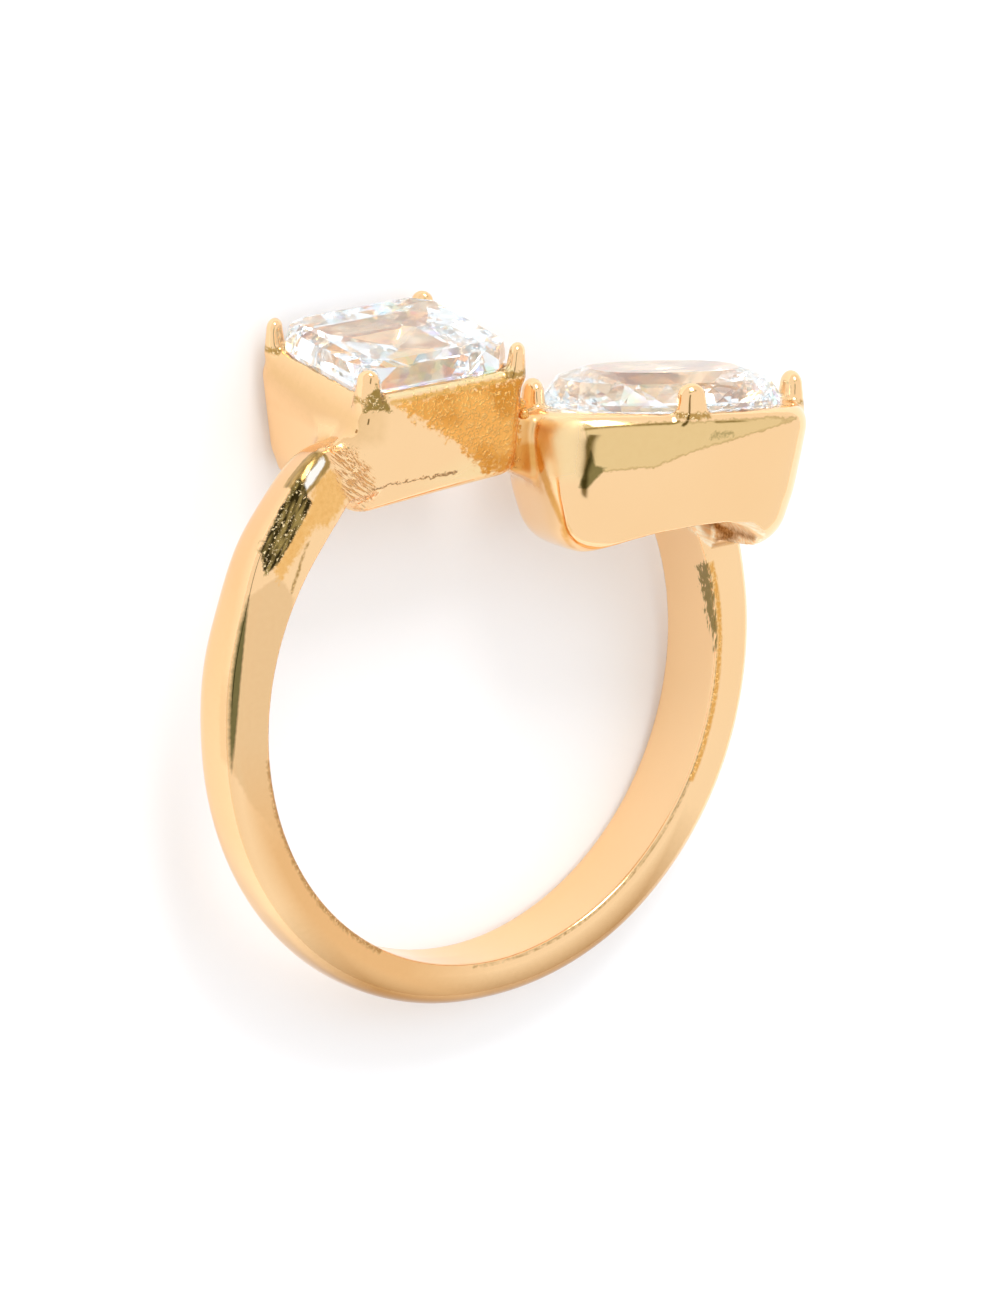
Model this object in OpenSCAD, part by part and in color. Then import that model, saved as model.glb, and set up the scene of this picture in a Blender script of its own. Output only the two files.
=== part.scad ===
// Two-stone wrap ring, lying on its side as it would by itself. Lengths in mm.
// It is drawn in a ring frame, with the origin on the loop axis, X across the finger, Y towards
// the stones and Z along the finger; the near side of the band is at Z = 0. The module rest then
// lays it down: a little turn about X and Y, because one cup stands out beyond the band.

/* [Band] */
// radius of the loop's inside
inner_r = 9.4; // [8:0.05:11]
// mean radius of the outside
outer_r = 10.86; // [9.5:0.02:12]
// how far the outside's centre is moved, so that the band thickens towards the stones
outer_shift = 0.08; // [0:0.02:0.8]
// direction of that move, in degrees from X
outer_shift_dir = 150; // [0:5:360]
// width of the band along the finger
band_w = 2.44; // [1.5:0.02:4]
// how much wider it gets on the right, and narrower on the left
band_w_flare = 0.24; // [0:0.02:0.6]
// where the loop starts on the right, in degrees from X
arm_right = 26; // [0:1:40]
// where it ends on the left
arm_left = 131; // [110:1:160]

/* [Left cup] */
// centre of the prong tips
lc_pos = [-2.24, 12.18, -2.5];
// turn about the upright
lc_turn = 5; // [-20:0.5:30]
// slope along X and slope along Z, in degrees
lc_slope = [1.6, -5.1];
// length and width between the prong tips
lc_tips = [5.82, 5.76];
// rim below the tips
lc_rim = 1.0; // [0.4:0.05:2]
// underside below the tips
lc_deep = 4.85; // [3:0.05:6]

/* [Right cup] */
// centre of the prong tips
rc_pos = [7.3, 9.6, -0.3];
// turn about the upright
rc_turn = 16; // [-20:0.5:30]
// slope along X and slope along Z, in degrees
rc_slope = [-5.7, 5.3];
// half length and half width between the prong tips
rc_tips = [4.64, 2.3];
// rim below the tips
rc_rim = 1.13; // [0.4:0.05:2]
// underside below the tips
rc_deep = 5.65; // [3:0.05:7]

/* [Stones] */
// gap that a stone keeps to the metal
stone_gap = 0.06; // [0.02:0.01:0.3]
// table of the radiant stone below the tips
ls_table = -0.05; // [-0.3:0.05:1]
// table of the oval stone above the tips
rs_table = 0.25; // [0:0.05:1]

/* [Rest] */
// turn of the whole ring, in degrees about X and Y, to lie as it would by itself
rest_turn = [8.22, 5.68];
// move that puts its middle over the origin and its lowest point on the floor
rest_move = [-0.58, -1.22, 4.31];

/* [Hidden] */
$fn = 48;
gold = [0.93, 0.72, 0.42];
clear = [0.86, 0.92, 0.96];

function unit(v) = v / norm(v);
// axes of a cup: along, away from the viewer, up
function up_axis(s) = unit([-tan(s[0]), 1, -tan(s[1])]);
function along_axis(t, s) =
    unit([cos(t), tan(s[0]) * cos(t) + tan(s[1]) * sin(t), sin(t)]);

module rest() {
    translate(rest_move) rotate([rest_turn[0], rest_turn[1], 0]) children();
}

module at_cup(pos, turn, slope) {
    a = along_axis(turn, slope);
    n = up_axis(slope);
    b = cross(n, a);
    multmatrix([
        [a[0], b[0], n[0], pos[0]],
        [a[1], b[1], n[1], pos[1]],
        [a[2], b[2], n[2], pos[2]],
        [0, 0, 0, 1]
    ]) children();
}

module at_left() { at_cup(lc_pos, lc_turn, lc_slope) children(); }
module at_right() { at_cup(rc_pos, rc_turn, rc_slope) children(); }

// band
module band() {
    c = outer_shift * [cos(outer_shift_dir), sin(outer_shift_dir)];
    span = 360 - (arm_left - arm_right);
    difference() {
        translate([c[0], c[1], 0]) rotate([0, 0, arm_left]) rotate_extrude(angle = span, $fn = 180)
            polygon([[7, 0], [outer_r - 0.34, 0], [outer_r - 0.15, -0.05], [outer_r - 0.04, -0.18],
                [outer_r, -0.42], [outer_r + 0.01, -0.9], [outer_r - 0.01, -1.3], [outer_r - 0.06, -1.7],
                [outer_r - 0.2, -2.1], [outer_r - 0.44, -2.4], [outer_r - 0.8, -2.7], [7, -2.95]]);
        finger();
        translate([0, 0, -0.16]) cylinder(h = 0.2, r1 = inner_r - 0.02, r2 = inner_r + 0.16, $fn = 180);
        rotate([0, atan(band_w_flare / inner_r), 0])
            translate([0, 0, -band_w - 5]) cube([40, 40, 10], center = true);
    }
}

// the round inside of the loop
module finger() {
    translate([0, 0, -6]) cylinder(h = 12, r = inner_r, $fn = 180);
}

// rounded corner of a shoulder section: angle round the loop, radius, place along the finger
module knob(a, r, z, e) {
    rotate([0, 0, a]) translate([r, 0, z]) sphere(r = e, $fn = 20);
}

module shoulders() {
    difference() {
        hull() {
            for (q = [[9.3, -0.2], [10.82, -0.25], [10.7, -1.9], [9.3, -1.9]]) knob(164, q[0], q[1], 0.2);
            for (q = [[9.0, -0.2], [11.5, -0.2], [10.9, -2.2], [9.0, -2.2]]) knob(140, q[0], q[1], 0.24);
            for (q = [[9.0, -0.2], [11.5, -0.2], [10.9, -2.2], [9.0, -2.2]]) knob(128, q[0], q[1], 0.24);
            for (q = [[9.0, -0.7], [10.4, -0.6], [10.0, -2.2], [9.0, -2.2]]) knob(119, q[0], q[1], 0.24);
        }
        finger();
    }
    difference() {
        hull() {
            for (q = [[9.2, -0.2], [10.66, -0.25], [10.58, -2.0], [9.2, -2.4]]) knob(1, q[0], q[1], 0.2);
            for (q = [[9.0, 0.3], [11.1, 0.2], [10.9, -2.2], [9.0, -2.6]]) knob(27, q[0], q[1], 0.24);
        }
        finger();
    }
}

// cups
function sgn_pow(c, p) = sign(c) * pow(abs(c), p);
// a rounded outline between an ellipse (p = 2) and a rectangle (large p)
function ring(a, b, p, n, off = 0) =
    [for (i = [0:n - 1]) let (t = (i + off) * 360 / n)
        [a * sgn_pow(cos(t), 2 / p), b * sgn_pow(sin(t), 2 / p)]];

module oval(a, b, p) { polygon(ring(a, b, p, 64)); }

module left_body() {
    l = lc_tips[0] / 2;
    w = lc_tips[1] / 2;
    // height, shift, half length, half width, corner radius and tip of each level
    rows = [[-lc_rim, 0, l + 0.2, w + 0.2, 0.62, 0], [-lc_rim - 0.8, -0.12, l + 0.42, w + 0.38, 0.7, 0],
        [-lc_deep + 1.0, 0, l + 0.38, w + 0.1, 0.7, -2], [-lc_deep + 0.3, 0.02, l + 0.34, w - 0.08, 0.5, -4],
        [-lc_deep, 0.04, l + 0.02, w - 0.36, 0.4, -4.5]];
    hull() for (q = rows)
        translate([q[1], 0, q[0]]) rotate([0, q[5], 0]) for (x = [-1, 1], y = [-1, 1])
            translate([x * (q[2] - q[4]), y * (q[3] - q[4]), -0.03]) cylinder(h = 0.03, r = q[4], $fn = 32);
}

module right_body() {
    l = rc_tips[0];
    w = rc_tips[1];
    // height, shift, half length and half width of each level
    rows = [[-rc_rim, -0.14, l + 0.3, w + 0.42], [-rc_rim - 0.5, -0.17, l + 0.42, w + 0.56],
        [-rc_rim - 1.5, -0.17, l + 0.24, w + 0.58], [-rc_deep + 1.75, -0.21, l, w + 0.44],
        [-rc_deep + 0.65, -0.22, l - 0.32, w + 0.17], [-rc_deep, -0.14, l - 0.88, w - 0.28]];
    hull() for (q = rows)
        translate([q[1], 0, q[0] - 0.02]) linear_extrude(0.02) oval(q[2], q[3], 3.2);
}

// the metal that joins the two cups under their rims
module bridge() {
    hull() {
        for (q = [[0.6, 8.9, -0.2], [0.5, 7.5, -0.3], [0.6, 8.9, -1.6], [0.5, 7.5, -1.6]])
            translate(q) sphere(r = 0.45, $fn = 20);
        for (q = [[2.9, 8.2, -0.9], [2.9, 7.0, -1.1]]) translate(q) sphere(r = 0.6, $fn = 20);
    }
}

// a claw: the tip is at the origin, the outside faces +X and it leans in over the stone
module prong(wide, thick, high) {
    intersection() {
        union() {
            translate([-0.1, 0, -wide]) sphere(r = wide, $fn = 40);
            translate([-0.1, 0, -wide]) rotate([0, 174, 0])
                cylinder(h = high, r1 = wide, r2 = wide + 0.16, $fn = 40);
        }
        translate([0.24 - thick / 2, 0, -2]) cube([thick, 3, 4.4], center = true);
    }
}

// the underside of the right cup rises towards the arm, and its near wall ends in an arch over it
module arch() {
    translate([0, 4, 0]) rotate([90, 0, 0]) linear_extrude(8)
        polygon([[-3.4, -6], [-3.3, -5.62], [-2, -5.28], [-1.2, -5.06], [0.26, -4.82], [0.9, -4.74],
            [1.4, -4.7], [1.9, -4.76], [1.9, -6]]);
    translate([0, -0.9, 0]) rotate([90, 0, 0]) linear_extrude(4)
        polygon([[1.4, -6], [1.4, -4.7], [1.9, -4.76], [2.3, -4.94], [2.6, -5.22], [2.7, -6]]);
}

module left_prongs() {
    l = lc_tips[0] / 2;
    w = lc_tips[1] / 2;
    for (x = [-1, 1], y = [-1, 1])
        translate([x * l, y * w, 0]) rotate([0, 0, atan2(y * w, x * l)]) prong(0.44, 0.6, 1.2);
}

module right_prongs() {
    l = rc_tips[0];
    w = rc_tips[1];
    for (a = [0, 90, 180, 270])
        translate([l * cos(a), (w + 0.1) * sin(a), 0]) rotate([0, 0, a]) prong(0.43, 0.7, 1.3);
}

// stones: each is the hull of rings of corner points, so every facet is flat
module solid_of(pts) {
    hull() polyhedron(points = pts, faces = [[for (i = [0:len(pts) - 1]) i]]);
}

// rectangle with cut corners, and a point in the middle of each side
function cut_rect(a, b, c, z) = [
    for (q = [[a, 0], [a, b - c], [a - c, b], [0, b], [c - a, b], [-a, b - c], [-a, 0], [-a, c - b],
        [c - a, -b], [0, -b], [a - c, -b], [a, c - b]]) [q[0], q[1], z]];

function radiant_points(g) = let (a = 2.96 + g, b = 2.76 + g, c = 0.66) concat(
    cut_rect(a * 0.88, b * 0.88, c, -ls_table + g),
    cut_rect(a * 0.99, b * 0.99, c, -ls_table - 0.17 + g),
    cut_rect(a, b, c, -0.55 + g), cut_rect(a, b, c, -0.85 - g),
    cut_rect(a * 0.8, b * 0.8, c * 1.2, -1.75 - g), cut_rect(a * 0.5, b * 0.5, c * 1.3, -2.5 - g),
    [[0, 0.5, -3.1 - g], [0, -0.5, -3.1 - g]]);

function lift(pts, z) = [for (q = pts) [q[0], q[1], z]];
function oval_points(g) = let (a = 4.1 + g, b = 2.42 + g, p = 2.6) concat(
    lift(ring(a * 0.64, b * 0.64, p, 16), rs_table + g),
    lift(ring(a * 0.88, b * 0.88, p, 16, 0.5), rs_table - 0.31 + g),
    lift(ring(a, b, p, 32), -0.74 + g), lift(ring(a, b, p, 32), -0.95 - g),
    lift(ring(a * 0.7, b * 0.7, p, 16, 0.5), -1.75 - g), lift(ring(a * 0.36, b * 0.36, p, 8), -2.5 - g),
    [[1, 0, -2.95 - g], [-1, 0, -2.95 - g]]);

module metal_ring() {
    color(gold) rest() {
        band();
        shoulders();
        bridge();
        at_left() difference() {
            union() { left_body(); left_prongs(); }
            solid_of(radiant_points(stone_gap));
        }
        at_right() difference() {
            union() { right_body(); right_prongs(); }
            solid_of(oval_points(stone_gap));
            arch();
        }
    }
}

module radiant_stone() { color(clear) rest() at_left() solid_of(radiant_points(0)); }

module oval_stone() { color(clear) rest() at_right() solid_of(oval_points(0)); }

metal_ring();
radiant_stone();
oval_stone();
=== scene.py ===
# %% [markdown]
# # A two-stone wrap ring, from fields and facets
# The real ring is one casting the colour of yellow gold: a slim band whose two ends carry deep
# cups, with claws that lean over two clear stones. This lesson builds the looks around the packed
# CAD frame. The frame is loaded first and is never moved. Everything new is worked out in the
# ring's own frame, in millimetres, and is laid down on its side when it becomes a mesh, as the
# CAD part lies.

import math
from functools import reduce

import bpy
import numpy as np
from mathutils import Matrix


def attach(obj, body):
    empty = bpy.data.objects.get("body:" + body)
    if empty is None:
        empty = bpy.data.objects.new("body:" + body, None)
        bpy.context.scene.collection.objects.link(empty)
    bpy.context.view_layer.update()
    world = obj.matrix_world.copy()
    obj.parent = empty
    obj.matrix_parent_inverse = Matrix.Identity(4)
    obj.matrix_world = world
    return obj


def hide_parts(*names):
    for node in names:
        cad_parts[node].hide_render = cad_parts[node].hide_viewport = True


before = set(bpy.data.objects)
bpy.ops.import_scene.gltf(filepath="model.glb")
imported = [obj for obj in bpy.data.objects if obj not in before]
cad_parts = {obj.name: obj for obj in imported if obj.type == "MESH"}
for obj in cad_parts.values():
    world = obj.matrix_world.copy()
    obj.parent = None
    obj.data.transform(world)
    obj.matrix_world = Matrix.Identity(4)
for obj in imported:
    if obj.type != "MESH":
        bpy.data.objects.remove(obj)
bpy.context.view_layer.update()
print("CAD nodes:", sorted(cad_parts))

# %% [markdown]
# ## The ring frame
# X runs across the finger, Y towards the stones and Z along the finger, with the near side of
# the band at Z = 0 and the origin on the loop's axis. A ring put down lies on its side, and one
# cup stands out beyond the band, so it lies a little tilted. The same turn and move as in the
# CAD source take points from the ring frame to the floor.

# %% From the ring frame to the floor
MM = 0.001
REST_TURN = np.radians([8.22, 5.68])
REST_MOVE = np.array([-0.58, -1.22, 4.31])


def turn_x(t):
    return np.array([[1, 0, 0], [0, np.cos(t), -np.sin(t)], [0, np.sin(t), np.cos(t)]])


def turn_y(t):
    return np.array([[np.cos(t), 0, np.sin(t)], [0, 1, 0], [-np.sin(t), 0, np.cos(t)]])


LAY = turn_y(REST_TURN[1]) @ turn_x(REST_TURN[0])


def lay_down(points):
    """Ring frame in mm to row frame in metres: turn about X, then about Y, then move."""
    return (np.asarray(points) @ LAY.T + REST_MOVE) * MM


# %% [markdown]
# ## Cups stand on their own axes
# Each cup is easiest to draw in its own frame: x along the stone, y away from the viewer, z up
# out of the cup, with the origin in the middle between the claw tips. The two frames lean
# differently, which is what makes the ring a wrap.

# %% Cup frames
def unit(v):
    return np.asarray(v, float) / np.linalg.norm(v)


def cup_frame(position, turn, slope):
    """Axes of a cup: up leans by the two slopes, along is turned about the upright."""
    sx, sz = np.tan(np.radians(slope))
    t = np.radians(turn)
    up = unit([-sx, 1, -sz])
    along = unit([np.cos(t), sx * np.cos(t) + sz * np.sin(t), np.sin(t)])
    return np.array(position), np.array([along, np.cross(up, along), up])


LEFT_CUP = cup_frame([-2.24, 12.18, -2.5], 5, [1.6, -5.1])
RIGHT_CUP = cup_frame([7.3, 9.6, -0.3], 16, [-5.7, 5.3])


def into_cup(points, cup):
    position, axes = cup
    return (points - position) @ axes.T


def out_of_cup(points, cup):
    position, axes = cup
    return np.asarray(points) @ axes + position


# %% [markdown]
# ## Why the metal is a field
# Cast metal has no seams: the band flows into the cups, and each claw grows out of the rim with
# a soft fillet. Separate lofts would cross each other in hard lines, so here each form is a
# distance field, a function that is negative inside the form. Two fields are joined by their
# smooth minimum, which melts the corner between them by a chosen radius, and trimmed by their
# smooth maximum. The whole ring is then one closed skin where the joined field is zero.

# %% Joining and trimming fields
def melt(a, b, radius):
    """Smooth minimum: the union of two forms, with a fillet of about this radius."""
    h = np.maximum(radius - np.abs(a - b), 0) / radius
    return np.minimum(a, b) - h * h * radius / 4


def trim(a, b, radius):
    """Smooth maximum: what two forms share, with the edge between them rounded."""
    return -melt(-a, -b, radius)


def table(x, stations, values, spread):
    """Values given at a few stations, joined by straight lines that are then averaged over a
    window, so that neither a kink nor a step is left."""
    fine = np.linspace(min(stations) - 3 * spread, max(stations) + 3 * spread, 600)
    line = np.interp(fine, stations, values)
    step = fine[1] - fine[0]
    reach = int(2 * spread / step) + 1
    bell = np.exp(-0.5 * (np.arange(-reach, reach + 1) * step / spread) ** 2)
    padded = np.pad(line, reach, mode="edge")
    return np.interp(x, fine, np.convolve(padded, bell / bell.sum(), mode="valid"))


# %% [markdown]
# ## The band
# Round the loop the section changes slowly: nearly a box at the left, where the near face is
# broad and flat, a low dome at the bottom, and a slim D at the right. On the left shoulder the
# outer edge rises to a ridge, and a narrow chamfer is filed along it. Each section is what four
# faces and the chamfer share. Their smooth maximum rounds the edges, and on the near side the
# rounding follows the loop too.

# %% Band field
INNER_R = 9.4
BAND_W = 2.44
BAND_FLARE = 0.24
LEFT_END, RIGHT_END = -5.0, 118
FAR_ROUND, CHAMFER_ROUND, BORE_ROUND, END_ROUND = 0.9, 0.06, 0.16, 0.4


def loop_angle(x, y):
    """Degrees round the loop from its lowest point, positive to the right."""
    return (np.degrees(np.arctan2(y, x)) + 270) % 360 - 180


def band_field(points):
    """Distance to the band: the greatest of the distances to its faces, with rounded edges.
    The left end is cut off at one x, and the right end at one angle."""
    x, y, z = points[..., 0], points[..., 1], points[..., 2]
    radius, angle = np.hypot(x, y), loop_angle(x, y)
    outer = table(
        angle,
        [-152, -143, -124, -112, -90, -60, 0, 30, 80, 105, 118],
        [10.6, 11.84, 11.86, 11.4, 11.13, 11.02, 10.9, 11.04, 11.02, 11.08, 11.3], 3,
    )
    tilt = table(angle, [-150, -125, -105, -60, 118], [0.26, 0.26, 0.05, 0, 0], 5)
    crown = table(angle, [-140, -90, -50, 0, 60, 118], [0.05, 0.1, 0.22, 0.25, 0.18, 0.1], 8)
    near = table(angle, [-152, -144, -138, -131, 90, 118], [-0.6, -0.4, -0.1, 0, 0, 0.1], 2.5)
    far = -BAND_W - BAND_FLARE * x / INNER_R
    middle = (near + far) / 2
    across = (z - middle) / (near - middle)
    outside = radius - outer - tilt * (z - near) + crown * across**2
    soft = table(angle, [-120, -85, -40, 0, 60, 118], [0.3, 0.45, 0.8, 0.8, 0.55, 0.4], 6)
    section = trim(outside, z - near, soft)
    section = trim(section, far - z, FAR_ROUND)
    chamfer = table(angle, [-156, -146, -135, -124, -118], [0.1, 0.2, 0.24, 0.12, -0.2], 2)
    slant = (radius - outer + z - near) / math.sqrt(2) + chamfer
    section = trim(section, slant, CHAMFER_ROUND)
    section = trim(section, INNER_R - radius, BORE_ROUND)
    ends = np.maximum(np.radians(angle - RIGHT_END) * radius,
                      np.where(angle < -90, x - LEFT_END, -3))
    return trim(section, ends, END_ROUND)


# %% [markdown]
# ## The cups
# A cup is a plan outline whose size changes with height. The left one is a box with rounded
# corners. The right one is a long rounded outline between an ellipse and a rectangle. Each has
# its own bottom, its flat rim, and a pocket that repeats the stone's outline with a small gap.
# The lowest half millimetre of a pocket is shorter than the stone's keel, so there the stone
# reaches into the metal. The near wall of the right cup rises in a slow arch where it crosses
# the band.

# %% Plan outlines
def rounded_box(x, y, half_x, half_y, corner):
    """Distance to a rectangle whose corners are arcs."""
    qx, qy = np.abs(x) - half_x + corner, np.abs(y) - half_y + corner
    beyond = np.hypot(np.maximum(qx, 0), np.maximum(qy, 0))
    return beyond + np.minimum(np.maximum(qx, qy), 0) - corner


def oval_outline(x, y, half_x, half_y, power):
    """Distance to an outline |x/a|^p + |y/b|^p = 1, by dividing its excess by its slope."""
    u, v = np.abs(x) / half_x + 1e-6, np.abs(y) / half_y + 1e-6
    level = (u**power + v**power) ** (1 / power)
    slope = np.hypot((u / level) ** (power - 1) / half_x, (v / level) ** (power - 1) / half_y)
    return (level - 1) / slope


def cut_corner_box(x, y, half_x, half_y, cut):
    """Distance to a rectangle whose corners are cut off straight."""
    x, y = np.abs(x), np.abs(y)
    corner = (x + y - half_x - half_y + cut) / math.sqrt(2)
    return np.maximum(np.maximum(x - half_x, y - half_y), corner)


# %% Pockets: the stones' outlines by height, grown by a gap
GAP = 0.06
RADIANT_HALF = (2.96, 2.76, 0.66)
RADIANT_LEVELS = [-3.1, -2.5, -1.75, -0.85, -0.55, -0.12, 0.05]
RADIANT_SCALE = [0.05, 0.5, 0.8, 1.0, 1.0, 0.99, 0.88]
OVAL_HALF = (4.1, 2.42)
OVAL_POWER = 2.6
OVAL_LEVELS = [-2.95, -2.5, -1.75, -0.95, -0.74, -0.06, 0.25]
OVAL_SCALE = [0.1, 0.36, 0.7, 1.0, 1.0, 0.88, 0.64]


def pocket(p, levels, scales, outline):
    """Distance to a stone's outlines grown by the gap: their scale follows the height. The
    lowest outline is a small one, shorter than the keel."""
    height = p[..., 2]
    side = outline(p[..., 0], p[..., 1], np.interp(height, levels, scales)) - GAP
    return np.maximum(side, np.maximum(height - levels[-1], levels[0] - height) - GAP)


def radiant_pocket(p):
    a, b, c = RADIANT_HALF
    return pocket(p, RADIANT_LEVELS, RADIANT_SCALE,
                  lambda x, y, s: cut_corner_box(x, y, a * s, b * s, c * s))


def oval_pocket(p):
    a, b = OVAL_HALF
    return pocket(p, OVAL_LEVELS, OVAL_SCALE,
                  lambda x, y, s: oval_outline(x, y, a * s, b * s, OVAL_POWER))


# %% Cup fields
LEFT_TIPS = (2.91, 2.88)
LEFT_RIM, LEFT_DEEP, LEFT_BOTTOM_SLOPE = -0.9, -4.96, 0.079
LEFT_RIM_ROUND, LEFT_BOTTOM_ROUND = 0.36, 0.4
RIGHT_TIPS = (4.64, 2.3)
RIGHT_RIM, RIGHT_DEEP = -0.97, -5.74
RIGHT_RIM_ROUND, RIGHT_BOTTOM_ROUND, ARCH_ROUND = 0.5, 1.05, 0.12
RIGHT_SHIFT, RIGHT_POWER = 0.17, 3.1


def left_cup_field(p):
    """A rounded box whose half sides, shift and corners change with height, trimmed by a
    sloping bottom and a flat rim."""
    x, y, z = p[..., 0], p[..., 1], p[..., 2]
    levels = [-4.85, -4.4, -3.85, -1.8, -1.0]
    half_x = table(z, levels, [3.14, 3.26, 3.26, 3.26, 3.08], 0.15)
    half_y = table(z, levels, [2.66, 2.84, 2.98, 3.26, 3.1], 0.15)
    shift = table(z, levels, [0.03, 0.01, 0, -0.12, 0], 0.15)
    corner = table(z, levels, [0.7, 0.7, 0.7, 0.6, 0.5], 0.2)
    wall = rounded_box(x - shift, y, half_x, half_y, corner)
    cup = trim(wall, LEFT_DEEP + LEFT_BOTTOM_SLOPE * x - z, LEFT_BOTTOM_ROUND)
    return trim(cup, z - LEFT_RIM, LEFT_RIM_ROUND)


def right_cup_field(p):
    """A rounded oval whose half sides change with height. Towards its left end it is squarer.
    The arch takes away what is below one height and nearer than one y, both given along x."""
    x, y, z = p[..., 0], p[..., 1], p[..., 2]
    levels = [-5.65, -5.0, -3.9, -2.63, -1.63, -1.13]
    half_x = table(z, levels, [4.02, 4.26, 4.6, 4.84, 5.04, 4.95], 0.15)
    half_y = table(z, levels, [2.3, 2.49, 2.74, 2.88, 2.86, 2.72], 0.15)
    square = table(z, levels, [1.2, 1.5, 1.5, 1.0, 0.4, 0.2], 0.3)
    power = RIGHT_POWER + square * np.clip(0.5 - x / 3, 0, 1)
    wall = oval_outline(x + RIGHT_SHIFT, y, half_x, half_y, power)
    cup = trim(wall, RIGHT_DEEP - z, RIGHT_BOTTOM_ROUND)
    arch = table(x, [-3.6, -2.9, -2.0, -1.2, 0.26, 1.4, 2.2, 2.6, 2.8],
                 [-5.86, -5.6, -5.26, -5.04, -4.8, -4.7, -4.9, -5.25, -5.8], 0.12)
    reach = table(x, [-3.6, 1.9, 2.4, 2.8], [3.4, 3.4, 0.4, -0.9], 0.08)
    cup = trim(cup, -np.maximum(y - reach, z - arch), ARCH_ROUND)
    return trim(cup, z - RIGHT_RIM, RIGHT_RIM_ROUND)


# %% [markdown]
# ## Claws
# Each claw is a cone with a ball tip, wider across than it is thick, that stands on the rim and
# leans in over the girdle. It is the distance to a line whose thickness grows from tip to foot,
# worked out in a frame squashed along the radial direction.

# %% Claw field
LEFT_CLAW = {"lean": -0.04, "wide": 0.48, "thick": 0.35, "high": 0.75}
RIGHT_CLAW = {"lean": -0.02, "wide": 0.66, "thick": 0.46, "high": 0.85}
RIGHT_CLAW_SPREAD = (RIGHT_TIPS[0] + 0.04, RIGHT_TIPS[1] + 0.16)
TIP_SHARE = 0.76


def claw_field(p, place, heading, lean, wide, thick, high):
    """Distance to a round cone from the foot up to the tip, squashed to its thickness."""
    out = np.array([np.cos(heading), np.sin(heading)])
    q = p[..., :2] - np.array(place)
    radial, side = q @ out, q @ np.array([-out[1], out[0]])
    squash = thick / wide
    tip_r, foot_r = wide * TIP_SHARE, wide
    up = np.clip((-tip_r - p[..., 2]) / high, 0, 1)
    core = lean * up
    size = tip_r + (foot_r - tip_r) * up
    height = p[..., 2] + tip_r + high * up
    return (np.sqrt(((radial - core) / squash) ** 2 + side**2 + height**2) - size) * squash


def left_claws(p):
    """Four claws at the corners, each turned towards its own corner."""
    a, b = LEFT_TIPS
    places = [(sx * a, sy * b) for sx in (-1, 1) for sy in (-1, 1)]
    return reduce(np.minimum, (claw_field(p, place, math.atan2(place[1], place[0]), **LEFT_CLAW)
                               for place in places))


def right_claws(p):
    """Four claws at the two ends and the middles of the two sides, a quarter turn apart."""
    a, b = RIGHT_CLAW_SPREAD
    headings = [quarter * math.pi / 2 for quarter in range(4)]
    return reduce(np.minimum, (claw_field(p, (a * math.cos(t), b * math.sin(t)), t, **RIGHT_CLAW)
                               for t in headings))


# %% The whole casting
WEB_MIDDLE, WEB_HALF, WEB_ROUND = (1.7, 8.0, -1.45), (1.9, 1.1, 1.05), 0.25
WEB_FALL = 0.5
DROPS = (((0.75, 9.75, 0.3), 0.22), ((1.15, 9.3, 0.0), 0.2), ((0.55, 10.3, 0.35), 0.16))
LEFT_CUP_FILLET, WEB_FILLET, RIGHT_CUP_FILLET = 0.8, 0.25, 0.3
DROP_FILLET, CLAW_FILLET, POCKET_ROUND = 0.12, 0.18, 0.05


def web_field(points):
    """The web between the cups: distance to a box with round edges, falling to the right."""
    q = points - np.array(WEB_MIDDLE)
    q = np.stack([q[..., 0], q[..., 1] + WEB_FALL * q[..., 0], q[..., 2]], -1)
    q = np.abs(q) - np.array(WEB_HALF) + WEB_ROUND
    return np.linalg.norm(np.maximum(q, 0), axis=-1) + np.minimum(q.max(-1), 0) - WEB_ROUND


def drops_field(points):
    """Drops of metal left in the corner between the left cup and the web."""
    return reduce(np.minimum, (np.linalg.norm(points - np.array(middle), axis=-1) - size
                               for middle, size in DROPS))


def metal_field(points):
    """The casting: band and cups melted together, claws melted on, pockets cut out."""
    left, right = into_cup(points, LEFT_CUP), into_cup(points, RIGHT_CUP)
    body = melt(band_field(points), left_cup_field(left), LEFT_CUP_FILLET)
    body = melt(body, web_field(points), WEB_FILLET)
    body = melt(body, right_cup_field(right), RIGHT_CUP_FILLET)
    body = melt(body, drops_field(points), DROP_FILLET)
    claws = np.minimum(left_claws(left), right_claws(right))
    body = melt(body, claws, CLAW_FILLET)
    body = trim(body, -radiant_pocket(left), POCKET_ROUND)
    return trim(body, -oval_pocket(right), POCKET_ROUND)


# %% [markdown]
# ## From field to skin
# The field is sampled on a grid of small cubes. Wherever an edge of the grid goes from inside to
# outside, the cubes round it each get one point, at the mean of their crossings, and the four
# points round the edge make one face. A few rounds of relaxing along the surface, each followed
# by a step back onto the field's zero, leave an even skin whose reflections run clean.

# %% Skin of a field
VOXEL = 0.105
GRID_LOW, GRID_HIGH = (-12.0, -11.6, -7.0), (13.0, 13.6, 4.2)
RELAX_ROUNDS, LONGEST_STEP, LEAST_STEEP = 3, 0.05, 0.2


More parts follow.
